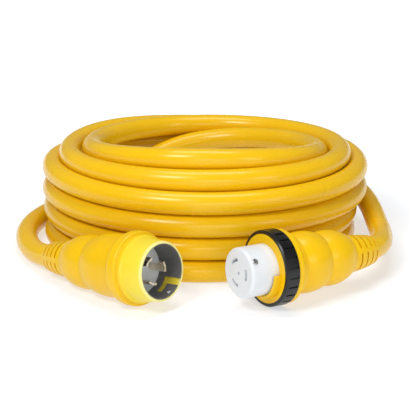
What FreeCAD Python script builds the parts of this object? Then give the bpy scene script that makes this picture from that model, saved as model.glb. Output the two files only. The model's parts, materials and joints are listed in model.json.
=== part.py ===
"""Shore power cord, 50 A, with a twist-lock plug and a locking connector on a coiled cord.

Frame: millimetres, +Z up, the floor is Z = 0.  The origin is the middle of the floor under the
two ends, and the coil lies behind them, towards +Y.  Both ends point towards -Y.

Each end is drawn along its own axis: local Z runs from the cord (0) to the mating face, local X
is level and local Y points up.
"""
import FreeCAD, Part
import math
import os
import Sketcher

Vector = FreeCAD.Vector
Rotation = FreeCAD.Rotation
Placement = FreeCAD.Placement

doc = FreeCAD.newDocument("shore_power_cord")
sheet = doc.addObject("Spreadsheet::Sheet", "sizes")

SIZES = {
    # the cord and its coil
    "cord_diameter": 25.0,
    "row_pitch": 26.0,
    "coil_rows": 4,
    "coil_radius": 183.0,
    "coil_inner_radius": 146.0,
    "middle_turn_radius": 168.0,
    "middle_turn_height": 104.0,
    "middle_turn_tilt": 2.7,
    "inner_turn_radius": 143.0,
    "inner_turn_height": 116.0,
    "inner_turn_tilt": 6.1,
    # the middle of the two ends, seen from the coil's centre
    "ends_middle_x": 4.9,
    "ends_middle_y": -223.65,
    # where each end's axis crosses its resting rim, and which way it points
    "plug_x": -74.3,
    "plug_y": -249.7,
    "plug_heading": 46.7,
    "plug_tilt": 7.8,
    "connector_x": 62.35,
    "connector_y": -257.85,
    "connector_heading": 57.1,
    "connector_tilt": 2.0,
    # boots: axial places and radii shared by both moulded bodies
    "relief_length": 34.0,
    "cord_start_run": 50.0,
    "relief_tail_radius": 16.5,
    "relief_root_radius": 20.5,
    "relief_slot_width": 2.2,
    "plug_relief_band": -15.0,
    "connector_relief_band": -2.0,
    "jacket_end": 61.5,
    "clamp_cavity_start": 42.0,
    "clamp_cavity_radius": 21.5,
    "wire_cavity_start": 72.0,
    "wire_cavity_radius": 24.0,
    # plug
    "plug_rear_lobe_radius": 29.4,
    "plug_waist_radius": 28.8,
    "plug_waist_at": 77.0,
    "plug_front_lobe_radius": 33.6,
    "plug_body_radius": 34.0,
    "plug_body_end": 126.0,
    "plug_flange_at": 134.0,
    "plug_flange_radius": 39.8,
    "plug_rim_at": 176.0,
    "plug_rim_radius": 30.9,
    "skirt_root_radius": 34.0,
    "shell_bore_radius": 28.1,
    "shell_wall": 1.2,
    "shell_slot_width": 7.6,
    "shell_slot_depth": 24.0,
    "shell_slot_angle": -36.0,
    "shell_slot_turn": 32.0,
    "plug_face_at": 143.0,
    "blade_circle": 14.0,
    "blade_thickness": 2.4,
    "blade_tip_at": 166.0,
    # connector
    "connector_rear_lobe_radius": 29.5,
    "connector_waist_radius": 28.6,
    "connector_waist_at": 73.5,
    "connector_front_lobe_radius": 32.8,
    "connector_flange_radius": 40.0,
    "connector_flange_front": 125.7,
    "ring_radius": 40.8,
    "ring_front_at": 143.0,
    "ring_rear_at": 126.0,
    "collar_radius": 35.6,
    "collar_lip_radius": 36.9,
    "ring_running_gap": 0.06,
    "ring_end_gap": 0.3,
    "barrel_radius": 26.8,
    "barrel_face_at": 176.0,
    "stud_radius": 3.2,
    "stud_at": 170.0,
    "stud_angle": 40.0,
}


def fill_sheet():
    for row, (alias, number) in enumerate(SIZES.items(), start=1):
        sheet.set("A%d" % row, alias.replace("_", " "))
        sheet.set("B%d" % row, str(number))
        sheet.setAlias("B%d" % row, alias)
    doc.recompute()


def size(alias):
    return float(sheet.get(alias))


def dim(alias, plus=0.0, times=1.0):
    """A sheet dimension, scaled and offset, as the pair (expression, number)."""
    text = "<<sizes>>.%s * %s + %s" % (alias, times, plus)
    return text, size(alias) * times + plus


ON_AXIS = ("0", 0.0)


def plane(body, role):
    for feature in body.Origin.OriginFeatures:
        if feature.Role == role:
            return feature
    raise RuntimeError("no origin plane " + role)


def half_plane_sketch(body, name, angle=0.0):
    """A sketch on the plane through the body's Z axis: its x is the radius, its y runs along Z."""
    sketch = body.newObject("Sketcher::SketchObject", name)
    sketch.AttachmentSupport = (plane(body, "XZ_Plane"), [""])
    sketch.MapMode = "FlatFace"
    turn = Rotation(Vector(0, 1, 0), angle)
    sketch.AttachmentOffset = Placement(Vector(0, 0, 0), turn)
    return sketch


def fix_point(sketch, geometry, end, radius, along):
    """Tie one point of the sketch to its radius and its place along the axis."""
    if radius[1] == 0:
        sketch.addConstraint(Sketcher.Constraint("PointOnObject", geometry, end, -2))
    else:
        number = sketch.addConstraint(
            Sketcher.Constraint("DistanceX", -1, 1, geometry, end, radius[1]))
        sketch.setExpression("Constraints[%d]" % number, radius[0])
    if along[1] == 0:
        sketch.addConstraint(Sketcher.Constraint("PointOnObject", geometry, end, -1))
    else:
        number = sketch.addConstraint(
            Sketcher.Constraint("DistanceY", -1, 1, geometry, end, along[1]))
        sketch.setExpression("Constraints[%d]" % number, along[0])


def draw_outline(sketch, corners):
    """Draw a closed outline.

    Each corner is (along, radius).  A corner with four entries is reached by an arc through a
    middle point: (along, radius, middle along, middle radius).
    """
    count = len(corners)
    pieces = []
    for index in range(count):
        here = corners[index]
        there = corners[(index + 1) % count]
        start = Vector(here[1][1], here[0][1], 0)
        stop = Vector(there[1][1], there[0][1], 0)
        if len(there) == 4:
            middle = Vector(there[3][1], there[2][1], 0)
            arc = Part.Arc(start, middle, stop)
            number = sketch.addGeometry(arc, False)
            turned = (sketch.Geometry[number].StartPoint - start).Length > 1e-6
            ends = (2, 1) if turned else (1, 2)
            guide = sketch.addGeometry(Part.Point(middle), True)
            sketch.addConstraint(Sketcher.Constraint("PointOnObject", guide, 1, number))
            fix_point(sketch, guide, 1, there[3], there[2])
        else:
            number = sketch.addGeometry(Part.LineSegment(start, stop), False)
            ends = (1, 2)
        pieces.append((number, ends))
    for index in range(count):
        number, ends = pieces[index]
        following, following_ends = pieces[(index + 1) % count]
        sketch.addConstraint(
            Sketcher.Constraint("Coincident", number, ends[1], following, following_ends[0]))
        fix_point(sketch, number, ends[0], corners[index][1], corners[index][0])


def box_outline(low, high, inner, outer):
    return [(low, inner), (low, outer), (high, outer), (high, inner)]


def new_body(label):
    body = doc.addObject("PartDesign::Body", label)
    body.Label = label
    return body


def turned(body, name, corners, angle=0.0, span=360.0):
    """Add a solid turned about the body's axis, all round or as a sector about one angle."""
    sketch = half_plane_sketch(body, name + "_outline", angle)
    draw_outline(sketch, corners)
    feature = body.newObject("PartDesign::Revolution", name)
    feature.Profile = sketch
    feature.ReferenceAxis = (sketch, ["V_Axis"])
    feature.Angle = span
    feature.Midplane = span < 360
    return feature


def cut_round(body, name, outlines, angle=0.0, span=360.0, copies=1):
    """Cut a groove turned about the body's axis, repeated evenly round it."""
    doc.recompute()
    before = body.Shape.Volume
    sketch = half_plane_sketch(body, name + "_outline", angle)
    for corners in outlines:
        draw_outline(sketch, corners)
    feature = body.newObject("PartDesign::Groove", name)
    feature.Profile = sketch
    feature.ReferenceAxis = (sketch, ["V_Axis"])
    feature.Angle = span
    feature.Midplane = span < 360
    if copies > 1:
        pattern = body.newObject("PartDesign::PolarPattern", name + "_pattern")
        pattern.Originals = [feature]
        pattern.Axis = (sketch, ["V_Axis"])
        pattern.Angle = 360
        pattern.Occurrences = copies
        body.Tip = pattern
    doc.recompute()
    if body.Shape.Volume > before - 0.5:
        raise RuntimeError(name + " cuts nothing")


class End:
    """One end of the cord: where its axis lies and how it is turned."""

    def __init__(self, name, side, along, rest_along, rest_radius):
        heading = math.radians(size(name + "_heading"))
        tilt = math.radians(size(name + "_tilt"))
        self.forward = Vector(
            side * math.sin(heading) * math.cos(tilt),
            -math.cos(heading) * math.cos(tilt),
            math.sin(tilt))
        level = Vector(math.cos(heading), side * math.sin(heading), 0)
        up = self.forward.cross(level)
        spot = Vector(
            size(name + "_x") - size("ends_middle_x"),
            size(name + "_y") - size("ends_middle_y"),
            rest_radius * math.cos(tilt) + (along - rest_along) * math.sin(tilt))
        self.start = spot - self.forward * along
        self.placement = Placement(self.start, Rotation(level, up, self.forward, "ZXY"))

    def point(self, along):
        return self.start + self.forward * along


fill_sheet()
cord_radius = size("cord_diameter") / 2
RING_CHAMFER = 0.8
plug = End("plug", 1, size("plug_flange_at"), size("plug_flange_at"), size("plug_flange_radius"))
connector = End("connector", -1, size("ring_front_at"), size("ring_rear_at") + RING_CHAMFER,
                size("ring_radius"))
coil_centre = Vector(-size("ends_middle_x"), -size("ends_middle_y"), 0)

ROUND_SHARE = 0.45
finished = []


def keep(thing, label, placement):
    thing.Label = label
    thing.Placement = placement
    finished.append(thing)


# ---------------------------------------------------------------- moulded boots

RELIEF_ROWS = 4
RELIEF_SLOTS = 4
RELIEF_SLOT_SPAN = 74.0
RELIEF_STATIONS = 5


def relief_frame(root, back, aside, bend_radius, distance):
    """A place on the strain relief's bent axis, with the direction of the cord there."""
    angle = distance / bend_radius
    place = root + back * (bend_radius * math.sin(angle))
    place = place + aside * (bend_radius * (1 - math.cos(angle)))
    return place, back * math.cos(angle) + aside * math.sin(angle)


def strain_relief(name, end, route, band_angle):
    """The ribbed sleeve behind a boot.  It is flexible, and it bends with the cord."""
    points = [end.placement.inverse().multVec(spot) for spot in route[:3]]
    back = (points[1] - points[0]).normalize()
    ahead = (points[2] - points[1]).normalize()
    turn = back.getAngle(ahead)
    bend_radius = ROUND_SHARE * size("cord_start_run") / math.tan(turn / 2)
    aside = (ahead - back * ahead.dot(back)).normalize()
    root = Vector(0, 0, size("relief_length"))
    length = size("relief_length")
    thick = size("relief_root_radius")
    thin = size("relief_tail_radius")
    rings = []
    for station in range(RELIEF_STATIONS + 1):
        share = station / RELIEF_STATIONS
        place, direction = relief_frame(root, back, aside, bend_radius, share * length)
        radius = thick - (thick - thin) * share ** 1.6
        rings.append(Part.Wire([Part.makeCircle(radius, place, direction)]))
    sleeve = Part.makeLoft(rings, True, False)
    floor = cord_radius + 1.6
    width = size("relief_slot_width")
    slots = []
    for row in range(1, RELIEF_ROWS + 1):
        distance = length * (row - 0.2) / (RELIEF_ROWS + 0.4)
        place, direction = relief_frame(root, back, aside, bend_radius, distance)
        for slot in range(RELIEF_SLOTS):
            sector = Part.makeCylinder(thick + 3, width, Vector(0, 0, -width / 2),
                                       Vector(0, 0, 1), RELIEF_SLOT_SPAN)
            sector = sector.cut(Part.makeCylinder(floor, 2 * width, Vector(0, 0, -width)))
            angle = band_angle + (slot + 0.5) * 360 / RELIEF_SLOTS - RELIEF_SLOT_SPAN / 2
            sector.Placement = Placement(place, Rotation(Vector(0, 0, 1), direction)
                                         .multiply(Rotation(Vector(0, 0, 1), angle)))
            slots.append(sector)
    sleeve = sleeve.cut(slots)
    jacket = tube(rounded_path(points, cord_radius), cord_radius)
    feature = doc.addObject("Part::Feature", name + "_strain_relief")
    feature.Shape = sleeve.cut(jacket)
    return feature


def join_boot(name, end, body, relief):
    """The sleeve and the boot are one moulding."""
    boot = doc.addObject("Part::Fuse", name + "_boot")
    boot.Base = body
    boot.Tool = relief
    boot.Refine = True
    keep(boot, name + "_boot", end.placement)


def hollow(front_start, front_end, front_radius):
    """The stepped bore of a boot, from its open front back to the cord's hole."""
    jacket = dim("cord_diameter", times=0.5)
    clamp = dim("clamp_cavity_radius")
    wires = dim("wire_cavity_radius")
    return [
        (front_end, front_radius),
        (front_start, front_radius),
        (front_start, wires),
        (dim("wire_cavity_start"), wires),
        (dim("wire_cavity_start"), clamp),
        (dim("clamp_cavity_start"), clamp),
        (dim("clamp_cavity_start"), jacket),
        (dim("relief_length"), jacket),
    ]


def plug_boot():
    body = new_body("plug_boot_body")
    waist = (dim("plug_waist_at"), dim("plug_waist_radius"))
    outline = [
        (dim("relief_length"), dim("relief_root_radius")),
        waist + (dim("plug_waist_at", plus=-26.0), dim("plug_rear_lobe_radius", plus=-1.4)),
        (dim("plug_body_end", plus=-14.0), dim("plug_body_radius"),
         dim("plug_waist_at", plus=17.0), dim("plug_front_lobe_radius")),
        (dim("plug_body_end"), dim("plug_body_radius")),
    ]
    bore = dim("shell_bore_radius", plus=size("shell_wall") + 0.2)
    outline += hollow(dim("plug_body_end", plus=-18.0), dim("plug_body_end"), bore)
    turned(body, "plug_boot_turned", outline)
    relief = strain_relief("plug", plug, tail_route(plug, PLUG_TAIL), size("plug_relief_band"))
    join_boot("plug", plug, body, relief)


def connector_boot():
    body = new_body("connector_boot_body")
    waist = (dim("connector_waist_at"), dim("connector_waist_radius"))
    front = dim("connector_flange_front")
    rim = dim("connector_flange_radius")
    outline = [
        (dim("relief_length"), dim("relief_root_radius")),
        waist + (dim("connector_waist_at", plus=-25.0),
                 dim("connector_rear_lobe_radius", plus=-1.2)),
        (dim("connector_flange_front", plus=-18.0),
         dim("connector_front_lobe_radius", plus=-1.6),
         dim("connector_waist_at", plus=13.0),
         dim("connector_front_lobe_radius")),
        (dim("connector_flange_front", plus=-10.0), dim("connector_front_lobe_radius")),
        (dim("connector_flange_front", plus=-7.0), dim("connector_flange_radius", plus=-1.5)),
        (dim("connector_flange_front", plus=-5.5), rim),
        (front, rim),
    ]
    bore = dim("barrel_radius", plus=0.05)
    outline += hollow(dim("connector_flange_front", plus=-16.0), front, bore)
    turned(body, "connector_boot_turned", outline)
    relief = strain_relief("connector", connector, tail_route(connector, CONNECTOR_TAIL),
                           size("connector_relief_band"))
    join_boot("connector", connector, body, relief)


# ---------------------------------------------------------------- plug

CONTACT_HALF = 0.6
BLADES = (("x", 125.0), ("y", 5.0), ("neutral", -115.0))
BLADE_SPAN = 46.0
HOOK_SPAN = 16.0
HOOK_LENGTH = 7.0


def plug_gasket():
    body = new_body("plug_gasket")
    low = dim("plug_body_end")
    high = dim("plug_body_end", plus=2.0)
    inner = dim("shell_bore_radius", plus=size("shell_wall") + 0.2)
    outer = dim("plug_body_radius", plus=-0.6)
    turned(body, "plug_gasket_turned", box_outline(low, high, inner, outer))
    keep(body, "plug_gasket", plug.placement)


def plug_skirt():
    """The weather skirt: a resting flange, a step, and a tapered sleeve up to the rim."""
    body = new_body("plug_skirt")
    flange = dim("plug_flange_radius")
    bore = dim("shell_bore_radius", plus=size("shell_wall"))
    outline = [
        (dim("plug_body_end", plus=2.0), dim("plug_body_radius", plus=1.0)),
        (dim("plug_flange_at", plus=-3.6), dim("plug_flange_radius", plus=-2.0)),
        (dim("plug_flange_at"), flange,
         dim("plug_flange_at", plus=-1.6), dim("plug_flange_radius", plus=-0.5)),
        (dim("plug_flange_at", plus=7.5), flange),
        (dim("plug_flange_at", plus=10.0), dim("plug_flange_radius", plus=-2.2),
         dim("plug_flange_at", plus=9.4), dim("plug_flange_radius", plus=-0.7)),
        (dim("plug_flange_at", plus=10.5), dim("skirt_root_radius", plus=2.6)),
        (dim("plug_flange_at", plus=15.0), dim("skirt_root_radius", plus=2.2)),
        (dim("plug_flange_at", plus=17.0), dim("skirt_root_radius")),
        (dim("plug_rim_at", plus=-3.0), dim("plug_rim_radius", plus=0.9)),
        (dim("plug_rim_at"), dim("plug_rim_radius", plus=-0.6),
         dim("plug_rim_at", plus=-0.6), dim("plug_rim_radius", plus=0.3)),
        (dim("plug_rim_at"), bore),
        (dim("plug_body_end", plus=2.0), bore),
    ]
    turned(body, "plug_skirt_turned", outline)
    keep(body, "plug_skirt", plug.placement)


def plug_shell():
    """The locking sleeve, with a bent slot that the mating stud runs into and turns along."""
    body = new_body("plug_shell")
    inner = dim("shell_bore_radius")
    seat = dim("shell_bore_radius", plus=-0.3)
    outer = dim("shell_bore_radius", plus=size("shell_wall"))
    low = dim("plug_body_end", plus=-14.0)
    shoulder = dim("plug_face_at")
    high = dim("plug_rim_at", plus=-0.8)
    outline = [
        (low, seat),
        (low, outer),
        (high, outer),
        (high, inner),
        (shoulder, inner),
        (shoulder, seat),
    ]
    turned(body, "plug_shell_turned", outline)
    through_low = dim("shell_bore_radius", plus=-1.0)
    through_high = dim("shell_bore_radius", plus=size("shell_wall") + 1.0)
    deep = dim("plug_rim_at", plus=-size("shell_slot_depth"))
    entry_span = math.degrees(size("shell_slot_width") / size("shell_bore_radius"))
    entry = box_outline(deep, dim("plug_rim_at", plus=1.0), through_low, through_high)
    entry_angle = size("shell_slot_angle")
    cut_round(body, "plug_shell_entry", [entry], entry_angle, entry_span)
    turn_end = dim("plug_rim_at", plus=size("shell_slot_width") - size("shell_slot_depth"))
    turn = box_outline(deep, turn_end, through_low, through_high)
    turn_span = size("shell_slot_turn")
    cut_round(body, "plug_shell_turn", [turn], entry_angle - turn_span / 2, turn_span)
    keep(body, "plug_shell", plug.placement)


def blade_slots(body, name, low, high, gap):
    """The three curved slots that the blades or the contacts stand in."""
    reach = size("blade_thickness") / 2 + gap
    inner = dim("blade_circle", plus=-reach)
    outer = dim("blade_circle", plus=reach)
    slot = box_outline(low, high, inner, outer)
    span = BLADE_SPAN + 2 * math.degrees(gap / size("blade_circle"))
    cut_round(body, name, [slot], BLADES[1][1], span, len(BLADES))


def drill(body, name, low, high, circle, radius, angles):
    """Bores along the axis, on a circle, drawn as circles on the body's XY plane."""
    doc.recompute()
    before = body.Shape.Volume
    sketch = body.newObject("Sketcher::SketchObject", name + "_circles")
    sketch.AttachmentSupport = (plane(body, "XY_Plane"), [""])
    sketch.MapMode = "FlatFace"
    sketch.AttachmentOffset = Placement(Vector(0, 0, low), Rotation())
    for angle in angles:
        centre = Vector(circle, 0, 0)
        centre = Rotation(Vector(0, 0, 1), angle).multVec(centre)
        sketch.addGeometry(Part.Circle(centre, Vector(0, 0, 1), radius), False)
    pocket = body.newObject("PartDesign::Pocket", name)
    pocket.Profile = sketch
    pocket.Length = high - low
    pocket.Reversed = True
    doc.recompute()
    if body.Shape.Volume > before - 0.5:
        raise RuntimeError(name + " cuts nothing")


SCREW_CIRCLE = 20.0
SCREW_ANGLES = (65.0, -55.0, -175.0)
SCREW_SHANK = 1.9
SCREW_CLEAR = 0.1


def plug_face():
    body = new_body("plug_face")
    low = dim("plug_face_at", plus=-13.0)
    high = dim("plug_face_at")
    turned(body, "plug_face_turned", box_outline(
        low, high, ON_AXIS, dim("shell_bore_radius", plus=-0.35)))
    below = dim("plug_face_at", plus=-14.0)
    above = dim("plug_face_at", plus=1.0)
    blade_slots(body, "plug_face_slots", below, above, 0.1)
    face = size("plug_face_at")
    drill(body, "plug_face_holes", face - 14, face - 5,
          SCREW_CIRCLE, SCREW_SHANK + SCREW_CLEAR, SCREW_ANGLES)
    keep(body, "plug_face", plug.placement)


def terminal_block(label, end, low, high, radius):
    """The rear insulator, with slots for the blades and holes for the assembly screws."""
    body = new_body(label)
    turned(body, label + "_turned", box_outline(low, high, ON_AXIS, radius))
    below = (low[0] + " - 1", low[1] - 1)
    above = (high[0] + " + 1", high[1] + 1)
    blade_slots(body, label + "_slots", below, above, 0.1)
    drill(body, label + "_holes", low[1] - 1, high[1] + 1,
          SCREW_CIRCLE, SCREW_SHANK + SCREW_CLEAR, SCREW_ANGLES)
    keep(body, label, end.placement)


def blade(name, angle):
    """A curved brass blade with a hook at its tip, and its terminal tail behind."""
    body = new_body("plug_blade_" + name)
    inner = dim("blade_circle", plus=-size("blade_thickness") / 2)
    outer = dim("blade_circle", plus=size("blade_thickness") / 2)
    tip = dim("blade_tip_at")
    tail = dim("plug_face_at", plus=-47.0)
    turned(body, "blade_%s_shank" % name, box_outline(tail, tip, inner, outer),
           angle - HOOK_SPAN / 2, BLADE_SPAN - HOOK_SPAN)
    hook = dim("blade_tip_at", plus=-HOOK_LENGTH)
    turned(body, "blade_%s_hook" % name, box_outline(hook, tip, inner, outer),
           angle, BLADE_SPAN)
    keep(body, "plug_blade_" + name, plug.placement)


def strap(label, end, low, high, inner, outer, angle, span):
    body = new_body(label)
    turned(body, label + "_turned", box_outline(low, high, inner, outer), angle, span)
    keep(body, label, end.placement)


# ---------------------------------------------------------------- connector

RING_GRIPS = 24
FACE_GROUND_ANGLE = -115.0
RIDGE_ANGLE = -40.0
RIDGE_SPAN = 84.0
RIDGE_HEIGHT = 8.0
RIDGE_GAP = 1.6
RIDGE_WALL = 3.2


def connector_seal():
    body = new_body("connector_seal")
    low = dim("connector_flange_front")
    high = dim("connector_flange_front", plus=1.5)
    inner = dim("barrel_radius", plus=0.3)
    turned(body, "connector_seal_turned", box_outline(low, high, inner, dim("collar_radius")))
    keep(body, "connector_seal", connector.placement)


def connector_collar():
    """The front collar that the ring turns on, with a lip that keeps the ring on."""
    body = new_body("connector_collar")
    bore = dim("barrel_radius", plus=0.05)
    rear = dim("connector_flange_front", plus=1.5)
    front = dim("ring_front_at")
    outline = [
        (rear, bore),
        (rear, dim("collar_radius")),
        (dim("ring_front_at", plus=-1.2), dim("collar_radius")),
        (dim("ring_front_at", plus=-1.2), dim("collar_lip_radius")),
        (front, dim("collar_lip_radius")),
        (front, bore),
    ]
    turned(body, "connector_collar_turned", outline)
    ridge = box_outline(dim("ring_front_at", plus=-3.0), dim("ring_front_at", plus=RIDGE_HEIGHT),
                        dim("barrel_radius", plus=RIDGE_GAP),
                        dim("barrel_radius", plus=RIDGE_GAP + RIDGE_WALL))
    turned(body, "connector_collar_ridge", ridge, RIDGE_ANGLE, RIDGE_SPAN)
    keep(body, "connector_collar", connector.placement)


def locking_ring():
    """The black ring: it turns freely on the collar, and its outside is notched for grip."""
    body = new_body("locking_ring")
    bore = dim("collar_radius", plus=size("ring_running_gap"))
    lip = dim("collar_lip_radius", plus=size("ring_end_gap"))
    rear = dim("ring_rear_at")
    front = dim("ring_front_at")
    step = dim("ring_front_at", plus=-1.2 - size("ring_end_gap"))
    outside = dim("ring_radius")
    outline = [
        (rear, bore),
        (rear, dim("ring_radius", plus=-RING_CHAMFER)),
        (dim("ring_rear_at", plus=RING_CHAMFER), outside),
        (dim("ring_front_at", plus=-1.0), outside),
        (front, dim("ring_radius", plus=-1.0)),
        (front, lip),
        (step, lip),
        (step, bore),
    ]
    turned(body, "locking_ring_turned", outline)
    notch = box_outline(dim("ring_rear_at", plus=2.0), dim("ring_front_at", plus=-4.0),
                        dim("ring_radius", plus=-1.1), dim("ring_radius", plus=1.0))
    cut_round(body, "locking_ring_grips", [notch], 0.0, 3.0, RING_GRIPS)
    keep(body, "locking_ring", connector.placement)


def radial_pin(radius, inner, outer, along, angle):
    """A round pin that points out from the axis, as a primitive in the end's own frame."""
    pin = doc.addObject("Part::Cylinder", "pin")
    pin.setExpression("Radius", radius[0])
    pin.Height = outer - inner
    outward = Rotation(Vector(0, 0, 1), angle).multVec(Vector(1, 0, 0))
    turn = Rotation(Vector(0, 0, 1), outward)
    pin.Placement = Placement(outward * inner + Vector(0, 0, along), turn)
    return pin


STUD_ROOT = 21.0
STUD_PROUD = 1.3


def barrel_and_stud():
    """The white barrel with its three curved slots, and the stud that locks it in the plug."""
    body = new_body("barrel_blank")
    rear = dim("connector_flange_front", plus=-16.0)
    face = dim("barrel_face_at")
    skin = dim("barrel_radius")
    outline = [
        (rear, ON_AXIS),
        (rear, skin),
        (dim("barrel_face_at", plus=-3.2), skin),
        (face, dim("barrel_radius", plus=-3.2),
         dim("barrel_face_at", plus=-0.94), dim("barrel_radius", plus=-0.94)),
        (face, ON_AXIS),
    ]
    turned(body, "barrel_turned", outline)
    blade_slots(body, "barrel_slots", (rear[0] + " - 1", rear[1] - 1),
                (face[0] + " + 1", face[1] + 1), 0.5)
    drill(body, "barrel_holes", rear[1] - 1, rear[1] + 14,
          SCREW_CIRCLE, SCREW_SHANK + SCREW_CLEAR, SCREW_ANGLES)
    drill(body, "barrel_centre_hole", face[1] - 8, face[1] + 1, 0.0, 2.0, (0.0,))
    channel = box_outline(dim("ring_front_at", plus=0.4), dim("barrel_face_at", plus=-7.0),
                          dim("barrel_radius", plus=-1.2), dim("barrel_radius", plus=1.0))
    cut_round(body, "barrel_ground_channel", [channel], FACE_GROUND_ANGLE, 20.0)
    stud_place = (size("stud_at"), size("stud_angle"))
    hole = radial_pin(dim("stud_radius"), STUD_ROOT, 30.0, *stud_place)
    barrel = doc.addObject("Part::Cut", "connector_barrel")
    barrel.Base = body
    barrel.Tool = hole
    keep(barrel, "connector_barrel", connector.placement)
    top = size("barrel_radius") + STUD_PROUD
    blank = radial_pin(dim("stud_radius"), STUD_ROOT, top, *stud_place)
    stud = doc.addObject("Part::Chamfer", "connector_lock_stud")
    stud.Base = blank
    doc.recompute()
    outer_edge = 1
    for number, edge in enumerate(blank.Shape.Edges, start=1):
        centre = edge.CenterOfMass - Vector(0, 0, size("stud_at"))
        if centre.Length > top - 0.1:
            outer_edge = number
    stud.Edges = [(outer_edge, 0.5, 0.5)]
    keep(stud, "connector_lock_stud", connector.placement)


# ---------------------------------------------------------------- inside both ends

CLAMP_INSET = 3.0
CLAMP_LENGTH = 11.0
CLAMP_MIDDLE = size("clamp_cavity_start") + CLAMP_INSET + CLAMP_LENGTH / 2
WIRES = (("red", 125.0, 3.2), ("black", 5.0, 3.2), ("white", -115.0, 3.2), ("green", 65.0, 2.8))


def clamp_halves(name, end):
    for half, angle in (("upper", 90.0), ("lower", -90.0)):
        label = "%s_clamp_%s" % (name, half)
        body = new_body(label + "_blank")
        outline = box_outline(
            dim("clamp_cavity_start", plus=CLAMP_INSET),
            dim("clamp_cavity_start", plus=CLAMP_INSET + CLAMP_LENGTH),
            dim("cord_diameter", plus=0.05, times=0.5),
            dim("clamp_cavity_radius", plus=-0.5))
        turned(body, label + "_turned", outline, angle, 174.0)
        holes = radial_clamp_hole(-1, CLAMP_MIDDLE) + radial_clamp_hole(1, CLAMP_MIDDLE)
        cut = doc.addObject("Part::Cut", label + "_drilled")
        tools = doc.addObject("Part::MultiFuse", label + "_holes")
        tools.Shapes = holes
        cut.Base = body
        cut.Tool = tools
        keep(cut, label, end.placement)


CLAMP_SCREW_X = 16.2
CLAMP_SCREW_HALF = 8.5


def radial_clamp_hole(side, along):
    """A screw's hole across both halves, wider above where the head sits."""
    tools = []
    for radius, low, high in ((1.6, -30, 30), (2.6, CLAMP_SCREW_HALF, 30)):
        hole = doc.addObject("Part::Cylinder", "clamp_hole")
        hole.Radius = radius
        hole.Height = high - low
        hole.Placement = Placement(Vector(side * CLAMP_SCREW_X, low, along),
                                   Rotation(Vector(0, 0, 1), Vector(0, 1, 0)))
        tools.append(hole)
    return tools


def screw(head_radius, head_height, shank_radius, shank_length):
    """A cheese-head screw along Z, its head below Z = 0 and its slot across the head."""
    head = Part.makeCylinder(head_radius, head_height, Vector(0, 0, -head_height))
    shank = Part.makeCylinder(shank_radius, shank_length)
    slot = Part.makeBox(3 * head_radius, 0.8, head_height / 2,
                        Vector(-1.5 * head_radius, -0.4, -head_height))
    return head.fuse(shank).cut(slot).removeSplitter()


def screw_group(label, end, template, places):
    copies = []
    for place in places:
        copy = template.copy()
        copy.Placement = place
        copies.append(copy)
    group = doc.addObject("Part::Feature", label)
    group.Shape = Part.makeCompound(copies)
    keep(group, label, end.placement)


def clamp_screws(name, end):
    """Two screws draw the clamp halves together beside the cord."""
    template = screw(2.3, 1.8, 1.5, 2 * CLAMP_SCREW_HALF)
    places = []
    for side in (-1, 1):
        foot = Vector(side * CLAMP_SCREW_X, CLAMP_SCREW_HALF, CLAMP_MIDDLE)
        places.append(Placement(foot, Rotation(Vector(0, 0, 1), Vector(0, -1, 0))))
    screw_group(name + "_clamp_screws", end, template, places)


def assembly_screws(name, end, head_at, length):
    template = screw(3.6, 2.2, SCREW_SHANK, length)
    places = []
    for angle in SCREW_ANGLES:
        foot = Rotation(Vector(0, 0, 1), angle).multVec(Vector(SCREW_CIRCLE, 0, 0))
        places.append(Placement(foot + Vector(0, 0, head_at), Rotation()))
    screw_group(name + "_assembly_screws", end, template, places)


TERMINAL_SCREW_LENGTH = 3.4


def terminal_screws(name, end, along, tail_radius, turn):
    """One screw on the back of each terminal tail, pointing in towards the axis."""
    template = screw(3.0, 2.0, 1.6, TERMINAL_SCREW_LENGTH)
    places = []
    for _, angle in BLADES:
        outward = Rotation(Vector(0, 0, 1), angle + turn).multVec(Vector(1, 0, 0))
        foot = outward * (tail_radius + TERMINAL_SCREW_LENGTH) + Vector(0, 0, along)
        places.append(Placement(foot, Rotation(Vector(0, 0, 1), outward * -1)))
    screw_group(name + "_terminal_screws", end, template, places)


def wires(name, end, stop):
    """Four insulated conductors, fanned out from the jacket to the terminals."""
    start = size("jacket_end") + 4.0
    for colour, angle, radius in WIRES:
        out = Rotation(Vector(0, 0, 1), angle).multVec(Vector(1, 0, 0))
        foot = out * 7.2 + Vector(0, 0, start)
        knee = out * 7.4 + Vector(0, 0, start + 10)
        tip = out * 14.5 + Vector(0, 0, stop - 8)
        last = out * 14.7 + Vector(0, 0, stop)
        path = rounded_path([foot, knee, tip, last], radius)
        wire = doc.addObject("Part::Feature", "%s_wire_%s" % (name, colour))
        wire.Shape = tube(path, radius)
        keep(wire, "%s_wire_%s" % (name, colour), end.placement)


# ---------------------------------------------------------------- cord

def rounded_path(points, least_radius):
    """Straight runs joined by tangent arcs as large as the shorter run at each point allows."""
    edges = []
    radii = []
    here = points[0]
    for before, corner, after in zip(points, points[1:], points[2:]):
        back = before - corner
        ahead = after - corner
        reach = ROUND_SHARE * min(back.Length, ahead.Length)
        back.normalize()
        ahead.normalize()
        turn = math.pi - back.getAngle(ahead)
        radius = reach / math.tan(turn / 2)
        if radius < least_radius:
            raise RuntimeError("the route bends too sharply: radius %.1f" % radius)
        radii.append(radius)
        first = corner + back * reach
        last = corner + ahead * reach
        inward = back + ahead
        inward.normalize()
        depth = radius / math.cos(turn / 2) - radius
        edges.append(Part.LineSegment(here, first).toShape())
        edges.append(Part.Arc(first, corner + inward * depth, last).toShape())
        here = last
    edges.append(Part.LineSegment(here, points[-1]).toShape())
    path = Part.Wire(edges)
    return path, radii


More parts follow.
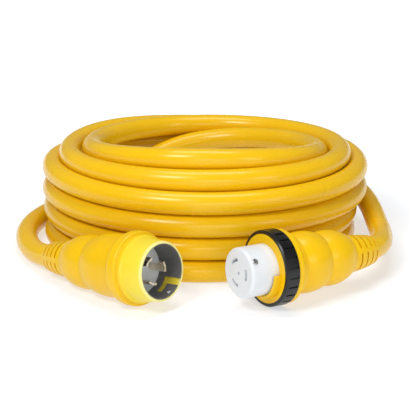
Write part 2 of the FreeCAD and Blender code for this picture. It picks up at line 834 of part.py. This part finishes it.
def tube(path_and_radii, radius):
    path = path_and_radii[0]
    start = path.Edges[0].valueAt(path.Edges[0].FirstParameter)
    direction = path.Edges[0].tangentAt(path.Edges[0].FirstParameter)
    section = Part.Wire([Part.makeCircle(radius, start, direction)])
    solid = path.makePipeShell([section], True, False)
    expected = math.pi * radius * radius * path.Length
    if abs(solid.Volume - expected) > 0.01 * expected:
        raise RuntimeError("a tube's volume is off its section times its length")
    return solid


# The tails' routes, in millimetres from the coil's centre, after the two points in each boot.
PLUG_TAIL = [
    (-193.1, -122.6, 13.3),
    (-210.2, -75.6, 12.6),
    (-214.6, -25.8, 12.6),
    (-204.2, 23.1, 13.4),
    (-180.7, 67.3, 13.6),
    (-151.8, 101.7, 13.2),
]
CONNECTOR_TAIL = [
    (203.0, -147.2, 32.0),
    (218.2, -99.4, 27.5),
    (216.6, -48.2, 28.5),
    (207.5, 1.6, 36.0),
    (192.4, 48.6, 42.0),
    (172.0, 91.0, 42.0),
]


def tail_route(end, spots):
    """The route starts straight inside the boot, and its first arc starts at the sleeve's root."""
    run = size("cord_start_run")
    root = size("relief_length")
    route = [end.point(root + (1 - ROUND_SHARE) * run), end.point(root - ROUND_SHARE * run)]
    for spot in spots:
        route.append(Vector(*spot) + coil_centre)
    return route


def cord_tail(label, end, spots):
    """The cord from inside its boot to where it joins the coil."""
    path, radii = rounded_path(tail_route(end, spots), 5 * 2 * cord_radius - 2)
    print(label, "length %.0f" % path.Length, "radii", [round(radius) for radius in radii])
    tail = doc.addObject("Part::Feature", label)
    tail.Shape = tube((path, radii), cord_radius)
    keep(tail, label, Placement())


def coil():
    """The coil's outer shape: a wall of stacked rows with two tilted turns nested on top."""
    rows = int(size("coil_rows"))
    pitch = size("row_pitch")
    outer = size("coil_radius")
    inner = size("coil_inner_radius")
    waist = outer + cord_radius - 3.0
    edges = [Part.LineSegment(Vector(inner, 0, 0), Vector(waist, 0, 0)).toShape()]
    for row in range(rows):
        low = Vector(waist, 0, row * pitch)
        middle = Vector(outer + cord_radius, 0, (row + 0.5) * pitch)
        high = Vector(waist, 0, (row + 1) * pitch)
        edges.append(Part.Arc(low, middle, high).toShape())
    top = rows * pitch
    edges.append(Part.LineSegment(Vector(waist, 0, top), Vector(inner, 0, top)).toShape())
    edges.append(Part.LineSegment(Vector(inner, 0, top), Vector(inner, 0, 0)).toShape())
    wall = Part.Face(Part.Wire(edges)).revolve(Vector(0, 0, 0), Vector(0, 0, 1), 360)
    shape = wall
    for name in ("middle_turn", "inner_turn"):
        turn = Part.makeTorus(size(name + "_radius"), cord_radius)
        tilt = Rotation(Vector(1, 0, 0), -size(name + "_tilt"))
        turn.Placement = Placement(Vector(0, 0, size(name + "_height")), tilt)
        shape = shape.fuse(turn)
    feature = doc.addObject("Part::Feature", "cord_coil")
    feature.Shape = shape.removeSplitter()
    keep(feature, "cord_coil", Placement(coil_centre, Rotation()))


# ---------------------------------------------------------------- build and export

def build():
    coil()
    cord_tail("plug_tail", plug, PLUG_TAIL)
    cord_tail("connector_tail", connector, CONNECTOR_TAIL)

    plug_boot()
    plug_gasket()
    plug_skirt()
    plug_shell()
    plug_face()
    terminal_block("plug_terminal_block", plug, dim("plug_face_at", plus=-31.0),
                   dim("plug_face_at", plus=-13.0), dim("shell_bore_radius", plus=-1.4))
    for name, angle in BLADES:
        blade(name, angle)
    strap("plug_ground_strap", plug, dim("plug_face_at", plus=-34.5),
          dim("plug_face_at", plus=-14.0), dim("shell_bore_radius", plus=-1.3),
          dim("shell_bore_radius", plus=-0.4), 65.0, 24.0)
    blade_back = size("blade_circle") + size("blade_thickness") / 2 + 0.1
    terminal_screws("plug", plug, 102.0, blade_back, -HOOK_SPAN / 2)
    assembly_screws("plug", plug, 112.0, 25.0)
    clamp_halves("plug", plug)
    clamp_screws("plug", plug)
    wires("plug", plug, 95.5)

    connector_boot()
    connector_seal()
    connector_collar()
    locking_ring()
    barrel_and_stud()
    terminal_block("connector_terminal_block", connector,
                   dim("connector_flange_front", plus=-28.0),
                   dim("connector_flange_front", plus=-16.0), dim("wire_cavity_radius", plus=-0.3))
    for name, angle in BLADES:
        strap("connector_contact_" + name, connector, dim("connector_flange_front", plus=-36.0),
              dim("barrel_face_at", plus=-10.0), dim("blade_circle", plus=-CONTACT_HALF),
              dim("blade_circle", plus=CONTACT_HALF), angle, BLADE_SPAN - 4.0)
    strap("connector_ground_contact", connector, dim("ring_front_at", plus=0.6),
          dim("barrel_face_at", plus=-7.2), dim("barrel_radius", plus=-1.1),
          dim("barrel_radius", plus=-0.1), FACE_GROUND_ANGLE, 18.0)
    contact_back = size("blade_circle") + CONTACT_HALF + 0.1
    terminal_screws("connector", connector, 93.5, contact_back, 0.0)
    assembly_screws("connector", connector, 97.6, 24.0)
    clamp_halves("connector", connector)
    clamp_screws("connector", connector)
    wires("connector", connector, 88.0)


def check():
    doc.recompute()
    for thing in doc.Objects:
        if "Invalid" in thing.State or "Error" in thing.State:
            raise RuntimeError("%s failed: %s" % (thing.Label, thing.State))
    for thing in finished:
        if thing.Shape.isNull() or not thing.Shape.isValid():
            raise RuntimeError(thing.Label + " has no valid shape")


def export():
    os.makedirs("parts", exist_ok=True)
    for thing in finished:
        thing.Shape.exportStep("parts/%s.step" % thing.Label)
    print(len(finished), "nodes")


build()
check()
export()
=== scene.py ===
"""Shore power cord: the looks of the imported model.

Metres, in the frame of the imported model.  The coil's middle comes from its node's box, and each
end's axis comes from its mount in the record.
"""
import json
import math

import bpy
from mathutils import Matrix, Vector


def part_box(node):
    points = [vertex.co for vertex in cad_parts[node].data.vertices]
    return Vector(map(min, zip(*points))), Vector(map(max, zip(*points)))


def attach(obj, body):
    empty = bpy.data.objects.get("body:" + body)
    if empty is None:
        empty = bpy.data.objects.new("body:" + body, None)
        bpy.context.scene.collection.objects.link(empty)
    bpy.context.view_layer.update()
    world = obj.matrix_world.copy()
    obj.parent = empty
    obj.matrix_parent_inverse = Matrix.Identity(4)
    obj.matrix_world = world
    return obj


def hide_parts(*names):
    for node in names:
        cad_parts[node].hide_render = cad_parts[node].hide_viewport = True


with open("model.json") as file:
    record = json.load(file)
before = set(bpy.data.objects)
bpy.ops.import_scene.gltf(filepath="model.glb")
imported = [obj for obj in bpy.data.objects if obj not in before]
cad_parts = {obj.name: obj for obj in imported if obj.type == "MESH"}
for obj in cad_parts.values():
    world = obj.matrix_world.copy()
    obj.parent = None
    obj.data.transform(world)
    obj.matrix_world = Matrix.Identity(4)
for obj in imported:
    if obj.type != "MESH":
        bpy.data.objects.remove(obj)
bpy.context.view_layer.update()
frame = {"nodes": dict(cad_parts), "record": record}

MM = 0.001
BODY = "cord_set"

mounts = {mount["name"]: mount for mount in frame["record"]["mounts"]}


class Axis:
    """The axis of one end: 0 at the cord's side, growing towards the mating face."""

    def __init__(self, mount, distance):
        self.forward = Vector(mounts[mount]["axis"]).normalized()
        self.start = Vector(mounts[mount]["pos_m"]) - self.forward * distance
        self.level = self.forward.cross(Vector((0, 0, 1))).normalized()
        self.up = self.level.cross(self.forward).normalized()

    def point(self, along, radius=0.0, angle=0.0):
        """A place along the axis; the angle is seen from the front, from the right upwards."""
        out = -self.level * math.cos(angle) + self.up * math.sin(angle)
        return self.start + self.forward * along + out * radius


# How far along its axis each end's mount is.
PLUG_MOUTH_AT = 0.1752
CONNECTOR_FACE_AT = 0.143

plug = Axis("plug_shell_bore", PLUG_MOUTH_AT)
connector = Axis("connector_barrel_pin", CONNECTOR_FACE_AT)

coil_low, coil_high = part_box("cord_coil")
coil_centre = Vector((
    (coil_low[0] + coil_high[0]) / 2,
    (coil_low[1] + coil_high[1]) / 2,
    0.0))


# ---------------------------------------------------------------- camera

CAMERA_DISTANCE = 1.7514
CAMERA_ELEVATION = math.radians(16.43)
CAMERA_TARGET_HEIGHT = 0.035
CAMERA_LENS = 125.7
CAMERA_SENSOR = 36.0
CAMERA_REACH = 50.0


def add_camera():
    data = bpy.data.cameras.new("camera")
    data.lens = CAMERA_LENS
    data.sensor_width = CAMERA_SENSOR
    data.clip_end = CAMERA_REACH
    camera = bpy.data.objects.new("camera", data)
    target = coil_centre + Vector((0, 0, CAMERA_TARGET_HEIGHT))
    back = Vector((0, -math.cos(CAMERA_ELEVATION), math.sin(CAMERA_ELEVATION)))
    camera.location = target + back * CAMERA_DISTANCE
    camera.rotation_euler = (-back).to_track_quat("-Z", "Y").to_euler()
    bpy.context.scene.collection.objects.link(camera)
    bpy.context.scene.camera = camera


# ---------------------------------------------------------------- cord

CORD_RADIUS = 0.0128          # a little over half, so that the rows press on each other

# The cord's first two control points at either end lie on that end's axis, this far along.
CORD_FIRST_AT = 0.042
CORD_SECOND_AT = 0.0115

# The tails, in millimetres from the coil's centre.
PLUG_TAIL = [
    (-193.1, -122.6, 13.3),
    (-210.2, -75.6, 13.0),
    (-214.6, -25.8, 13.0),
    (-204.2, 23.1, 13.4),
    (-180.7, 67.3, 13.6),
    (-151.8, 101.7, 13.2),
]
CONNECTOR_TAIL = [
    (197.0, -149.0, 32.0),
    (205.0, -101.0, 27.5),
    (204.5, -50.0, 28.5),
    (201.5, 0.0, 36.0),
    (192.5, 47.5, 41.0),
    (172.0, 91.0, 42.0),
]

# Where the cord passes as it winds, clockwise from above: the turn counted from the left, then
# the radius and the height in millimetres.  Quarters are left, back, right and front.
WINDING = [
    (0.00, 183.0, 12.9), (0.25, 183.0, 12.9), (0.50, 169.5, 12.9), (0.75, 183.0, 12.9),
    (0.94, 183.0, 12.9), (1.00, 181.0, 13.6), (1.06, 161.0, 19.0), (1.125, 144.0, 47.0),
    (1.1875, 137.0, 71.0), (1.25, 134.5, 84.0), (1.50, 134.0, 105.0), (1.75, 152.0, 132.0),
    (2.00, 135.0, 110.0), (2.25, 155.0, 100.0), (2.50, 162.5, 105.5), (2.75, 168.5, 112.0),
    (3.00, 163.0, 105.0), (3.125, 170.0, 102.0), (3.25, 179.0, 94.0), (3.50, 183.0, 90.3),
    (3.75, 183.0, 90.3),
    (4.00, 183.0, 90.3), (4.125, 183.0, 80.0), (4.25, 183.0, 68.0), (4.50, 183.0, 64.6),
    (4.75, 183.0, 64.6),
    (5.00, 183.0, 64.6), (5.125, 173.0, 55.0), (5.25, 168.5, 44.0), (5.50, 171.0, 38.8),
    (5.75, 183.0, 38.8),
    (6.00, 183.0, 38.8), (6.125, 197.0, 39.0), (6.25, 196.5, 40.0), (6.50, 199.0, 42.0),
]
POINTS_PER_TURN = 24
FIRST_TURN = 0.14
LAST_TURN = 6.38


def winding_at(turn):
    """Radius and height at a turn, on smooth cubics through the places above."""
    last = len(WINDING) - 2
    index = 0
    while index < last and WINDING[index + 1][0] <= turn:
        index += 1
    here, there = WINDING[index], WINDING[index + 1]
    before = WINDING[max(index - 1, 0)]
    after = WINDING[min(index + 2, len(WINDING) - 1)]
    span = there[0] - here[0]
    share = (turn - here[0]) / span
    values = []
    for column in (1, 2):
        slope_in = (there[column] - before[column]) / (there[0] - before[0]) * span
        slope_out = (after[column] - here[column]) / (after[0] - here[0]) * span
        values.append(
            (2 * share ** 3 - 3 * share ** 2 + 1) * here[column]
            + (share ** 3 - 2 * share ** 2 + share) * slope_in
            + (3 * share ** 2 - 2 * share ** 3) * there[column]
            + (share ** 3 - share ** 2) * slope_out)
    return values


def coil_points():
    """Control points of the turns, pushed out a little, because the spline runs inside them.

    Nearest to a point, the spline of order 3 gives it three quarters of the weight, and its two
    neighbours share the last quarter.
    """
    push = 1 / (0.75 + 0.25 * math.cos(2 * math.pi / POINTS_PER_TURN))
    count = round((LAST_TURN - FIRST_TURN) * POINTS_PER_TURN)
    points = []
    for step in range(count + 1):
        turn = FIRST_TURN + (LAST_TURN - FIRST_TURN) * step / count
        radius, height = winding_at(turn)
        angle = 2 * math.pi * turn
        points.append(coil_centre + MM * Vector((
            -radius * push * math.cos(angle),
            radius * push * math.sin(angle),
            height)))
    return points


def tail_points(axis, tail):
    points = [axis.point(CORD_FIRST_AT), axis.point(CORD_SECOND_AT)]
    for spot in tail:
        points.append(coil_centre + MM * Vector(spot))
    return points


def route_curve(name, points, radius):
    data = bpy.data.curves.new(name, "CURVE")
    data.dimensions = "3D"
    data.resolution_u = 8
    data.bevel_depth = 1.0
    data.bevel_resolution = 9
    data.use_fill_caps = True
    spline = data.splines.new("NURBS")
    spline.points.add(len(points) - 1)
    for point, place in zip(spline.points, points):
        point.co = (*place, 1.0)
        point.radius = radius
    spline.order_u = 3
    spline.use_endpoint_u = True
    curve = bpy.data.objects.new(name, data)
    bpy.context.scene.collection.objects.link(curve)
    return curve


def add_cord():
    route = tail_points(plug, PLUG_TAIL)
    route += coil_points()
    route += reversed(tail_points(connector, CONNECTOR_TAIL))
    cord = route_curve("cord", route, CORD_RADIUS)
    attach(cord, BODY)
    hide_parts("cord_coil", "plug_tail", "connector_tail")
    return cord


# ---------------------------------------------------------------- materials

class Nodes:
    """A short way to write a material's nodes."""

    def __init__(self, name):
        self.material = bpy.data.materials.new(name)
        self.material.use_nodes = True
        self.tree = self.material.node_tree
        self.shader = self.tree.nodes["Principled BSDF"]

    def add(self, kind, **inputs):
        node = self.tree.nodes.new(kind)
        for key, value in inputs.items():
            node.inputs[key.replace("_", " ")].default_value = value
        return node

    def link(self, source, target):
        self.tree.links.new(source, target)

    def set(self, **inputs):
        for key, value in inputs.items():
            self.shader.inputs[key.replace("_", " ")].default_value = value

    def noise(self, scale, detail=3.0, stretch=(1, 1, 1)):
        place = self.add("ShaderNodeTexCoord")
        mapping = self.add("ShaderNodeMapping")
        mapping.inputs["Scale"].default_value = stretch
        noise = self.add("ShaderNodeTexNoise", Scale=scale, Detail=detail)
        self.link(place.outputs["Object"], mapping.inputs["Vector"])
        self.link(mapping.outputs["Vector"], noise.inputs["Vector"])
        return noise.outputs["Fac"]

    def ramp(self, source, low, high, start=0.35, stop=0.65):
        ramp = self.add("ShaderNodeValToRGB")
        ramp.color_ramp.elements[0].position = start
        ramp.color_ramp.elements[1].position = stop
        ramp.color_ramp.elements[0].color = low
        ramp.color_ramp.elements[1].color = high
        self.link(source, ramp.inputs["Fac"])
        return ramp.outputs["Color"]

    def colour(self, low, high, scale):
        source = self.ramp(self.noise(scale), (*low, 1), (*high, 1))
        self.link(source, self.shader.inputs["Base Color"])

    def roughness(self, low, high, scale):
        source = self.ramp(self.noise(scale, 4.0), (low,) * 3 + (1,), (high,) * 3 + (1,))
        self.link(source, self.shader.inputs["Roughness"])

    def bump(self, scale, strength, distance=0.0004, stretch=(1, 1, 1)):
        bump = self.add("ShaderNodeBump", Strength=strength, Distance=distance)
        self.link(self.noise(scale, 5.0, stretch), bump.inputs["Height"])
        self.link(bump.outputs["Normal"], self.shader.inputs["Normal"])


RUBBER_IOR = 1.38
SPECULAR = 0.5
SCATTER_SCALE = 0.004
GRAIN_STRENGTH = 0.05
GRAIN_DEPTH = 0.00015


def rubber(name, low, high, rough, grain):
    nodes = Nodes(name)
    nodes.colour(low, high, 9.0)
    nodes.roughness(rough - 0.03, rough + 0.03, 25.0)
    nodes.bump(grain, GRAIN_STRENGTH, GRAIN_DEPTH)
    nodes.set(IOR=RUBBER_IOR, Specular_IOR_Level=SPECULAR)
    nodes.set(Subsurface_Weight=0.08, Subsurface_Scale=SCATTER_SCALE)
    nodes.shader.inputs["Subsurface Radius"].default_value = (1.0, 0.6, 0.1)
    return nodes.material


# Places along the plug's axis.
# From here to the rim the skirt's colour is painted paler, standing in for light coming through the
# thinning rubber.
SKIRT_LIGHT_PAINTED_FROM = 0.146
SKIRT_RIM = 0.1755


def skirt_rubber():
    """The skirt thins towards its rim, where light comes through; that light is painted into its
    colour, paler towards the rim.
    """
    nodes = Nodes("skirt")
    place = nodes.add("ShaderNodeTexCoord")
    along = nodes.add("ShaderNodeVectorMath")
    along.operation = "DOT_PRODUCT"
    along.inputs[1].default_value = plug.forward
    nodes.link(place.outputs["Object"], along.inputs[0])
    start = plug.start.dot(plug.forward)
    share = nodes.add("ShaderNodeMapRange")
    share.inputs["From Min"].default_value = start + SKIRT_LIGHT_PAINTED_FROM
    share.inputs["From Max"].default_value = start + SKIRT_RIM
    nodes.link(along.outputs["Value"], share.inputs["Value"])
    ramp = nodes.add("ShaderNodeValToRGB")
    stops = ramp.color_ramp.elements
    stops[0].color = (0.83, 0.52, 0.003, 1)
    stops[1].color = (0.86, 0.78, 0.30, 1)
    # Painted light: the stops grow paler towards the rim, for light coming through the thin rubber.
    lemon = stops.new(0.14)
    lemon.color = (0.84, 0.64, 0.030, 1)
    paler_painted_light = stops.new(0.88)
    paler_painted_light.color = (0.85, 0.69, 0.050, 1)
    nodes.link(share.outputs["Result"], ramp.inputs["Fac"])
    nodes.link(ramp.outputs["Color"], nodes.shader.inputs["Base Color"])
    nodes.roughness(0.30, 0.36, 25.0)
    nodes.bump(1400.0, GRAIN_STRENGTH, GRAIN_DEPTH)
    nodes.set(IOR=RUBBER_IOR, Specular_IOR_Level=SPECULAR)
    nodes.set(Subsurface_Weight=0.2, Subsurface_Scale=SCATTER_SCALE)
    nodes.shader.inputs["Subsurface Radius"].default_value = (1.0, 0.7, 0.15)
    return nodes.material


def plastic(name, low, high, rough, grain, bump=0.15):
    nodes = Nodes(name)
    nodes.colour(low, high, 40.0)
    nodes.roughness(rough - 0.04, rough + 0.05, 90.0)
    nodes.bump(grain, bump, 0.0002)
    nodes.set(Specular_IOR_Level=SPECULAR)
    return nodes.material


def metal(name, low, high, rough):
    nodes = Nodes(name)
    nodes.colour(low, high, 120.0)
    nodes.roughness(rough - 0.06, rough + 0.08, 200.0)
    nodes.bump(900.0, 0.1, 0.0001, (1, 1, 6))
    nodes.set(Metallic=1.0)
    return nodes.material


def paint(node, material):
    piece = bpy.data.objects[node]
    for slot in piece.material_slots:
        slot.material = material


WIRE_COLOURS = {
    "red": (0.5, 0.01, 0.01),
    "black": (0.02, 0.02, 0.02),
    "white": (0.8, 0.8, 0.8),
    "green": (0.01, 0.25, 0.04),
}


def add_materials(cord):
    jacket = rubber("jacket", (0.80, 0.480, 0.004), (0.84, 0.510, 0.006), 0.25, 900.0)
    boot = rubber("boot", (0.82, 0.49, 0.001), (0.86, 0.52, 0.002), 0.31, 1400.0)
    skirt = skirt_rubber()
    black = plastic("black", (0.001, 0.001, 0.0012), (0.002, 0.002, 0.0025), 0.30, 1800.0)
    white = plastic("white", (0.72, 0.745, 0.77), (0.76, 0.785, 0.81), 0.34, 900.0, 0.05)
    shell = plastic("shell", (0.105, 0.102, 0.098), (0.130, 0.127, 0.122), 0.42, 1500.0)
    face = plastic("face", (0.60, 0.62, 0.61), (0.72, 0.74, 0.73), 0.5, 1200.0)
    dark = plastic("dark", (0.05, 0.05, 0.055), (0.07, 0.07, 0.075), 0.5, 1200.0)
    brass = metal("brass", (0.66, 0.55, 0.38), (0.82, 0.74, 0.60), 0.30)
    steel = metal("steel", (0.50, 0.50, 0.50), (0.62, 0.62, 0.62), 0.35)
    seal = rubber("seal", (0.02, 0.02, 0.02), (0.03, 0.03, 0.03), 0.6, 1200.0)
    cord.data.materials.append(jacket)
    finishes = {
        "plug_boot": boot,
        "connector_boot": boot,
        "plug_skirt": skirt,
        "connector_collar": boot,
        "locking_ring": black,
        "connector_barrel": white,
        "connector_lock_stud": steel,
        "plug_shell": shell,
        "plug_face": face,
        "plug_terminal_block": dark,
        "connector_terminal_block": dark,
        "plug_gasket": seal,
        "connector_seal": seal,
    }
    for colour, tint in WIRE_COLOURS.items():
        lighter = tuple(min(1.0, value * 1.15) for value in tint)
        wire = plastic("wire_" + colour, tint, lighter, 0.4, 1500.0)
        for end in ("plug", "connector"):
            finishes["%s_wire_%s" % (end, colour)] = wire
    for node in frame["nodes"]:
        if "blade" in node or "contact" in node or "strap" in node:
            finishes[node] = brass
        elif "screws" in node:
            finishes[node] = steel
        elif "clamp" in node:
            finishes[node] = dark
    for node, material in finishes.items():
        paint(node, material)
    add_mark(white)


# ---------------------------------------------------------------- small pieces

# The raised triangle beside the bent slot: places along the axis, and angles.
MARK_CORNERS = ((0.1672, -66.0), (0.1715, -61.5), (0.1715, -70.5))
MARK_PROUD = 0.0004


def add_mark(material):
    """A raised triangle on the inside of the plug's shell, which shows where to line up."""
    bore = mounts["plug_shell_bore"]["dims"]["r_mm"] * MM
    points = []
    for radius in (bore, bore - MARK_PROUD):
        for along, angle in MARK_CORNERS:
            points.append(plug.point(along, radius, math.radians(angle)))
    sides = [(0, 1, 4, 3), (1, 2, 5, 4), (2, 0, 3, 5)]
    mesh = bpy.data.meshes.new("plug_mark")
    mesh.from_pydata(points, [], [(2, 1, 0), (3, 4, 5)] + sides)
    mark = bpy.data.objects.new("plug_mark", mesh)
    bpy.context.scene.collection.objects.link(mark)
    mesh.materials.append(material)
    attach(mark, BODY)


# ---------------------------------------------------------------- floor and light

FLOOR_HALF = 8.0
FLOOR_DARK = (0.46, 0.475, 0.50)
FLOOR_PALE = (0.47, 0.485, 0.51)

# The floor's glow grows from dim near the coil to full between these distances from the coil's
# centre; the dim glow near the coil is painted shade around it.
FLOOR_NEAR = 0.28
FLOOR_FAR = 0.85
NEAR_GLOW_PAINTED_SHADE = (0.55, 0.555, 0.565)
FULL_GLOW = (1, 1, 1)


def add_floor():
    half = FLOOR_HALF
    mesh = bpy.data.meshes.new("floor")
    corners = [(-half, -half, 0), (half, -half, 0), (half, half, 0), (-half, half, 0)]
    mesh.from_pydata(corners, [], [(0, 1, 2, 3)])
    floor = bpy.data.objects.new("floor", mesh)
    bpy.context.scene.collection.objects.link(floor)
    nodes = Nodes("floor")
    nodes.colour(FLOOR_DARK, FLOOR_PALE, 2.0)
    nodes.set(Roughness=0.9, Specular_IOR_Level=0.1, Emission_Strength=1.0)
    place = nodes.add("ShaderNodeTexCoord")
    distance = nodes.add("ShaderNodeVectorMath")
    distance.operation = "DISTANCE"
    distance.inputs[1].default_value = coil_centre
    nodes.link(place.outputs["Object"], distance.inputs[0])
    share = nodes.add("ShaderNodeMapRange")
    share.inputs["From Min"].default_value = FLOOR_NEAR
    share.inputs["From Max"].default_value = FLOOR_FAR
    nodes.link(distance.outputs["Value"], share.inputs["Value"])
    # Painted shade: the floor glows less near the coil, darkening the floor around and under it.
    glow = nodes.ramp(share.outputs["Result"], (*NEAR_GLOW_PAINTED_SHADE, 1), (*FULL_GLOW, 1), 0.0, 1.0)
    nodes.link(glow, nodes.shader.inputs["Emission Color"])
    mesh.materials.append(nodes.material)


# Each light's place from the point it shines at, its width and height, and its watts.
LIGHTS = {
    "overhead": ((0.0, 0.05, 1.7), (1.1, 0.6), 13),
    "left": ((-0.95, -1.5, 1.8), (0.8, 0.6), 28),
    "front": ((0.2, -2.0, 0.5), (1.2, 0.5), 7),
    "right": ((1.4, -1.4, 0.7), (0.6, 0.8), 5),
}
LIGHT_TARGET_HEIGHT = 0.05
WORLD_STRENGTH = 0.24


def add_light(name, place, size, power, target):
    data = bpy.data.lights.new(name, "AREA")
    data.shape = "RECTANGLE"
    data.size = size[0]
    data.size_y = size[1]
    data.energy = power
    light = bpy.data.objects.new(name, data)
    light.location = place
    direction = Vector(target) - Vector(place)
    light.rotation_euler = direction.to_track_quat("-Z", "Y").to_euler()
    bpy.context.scene.collection.objects.link(light)


def add_lights():
    bpy.context.scene.view_settings.view_transform = "Standard"
    target = coil_centre + Vector((0, 0, LIGHT_TARGET_HEIGHT))
    for name, (offset, size, power) in LIGHTS.items():
        add_light(name, target + Vector(offset), size, power, target)
    world = bpy.data.worlds.new("world")
    world.use_nodes = True
    background = world.node_tree.nodes["Background"]
    background.inputs["Color"].default_value = (1, 1, 1, 1)
    background.inputs["Strength"].default_value = WORLD_STRENGTH
    bpy.context.scene.world = world


add_camera()
cord = add_cord()
add_materials(cord)
add_floor()
add_lights()
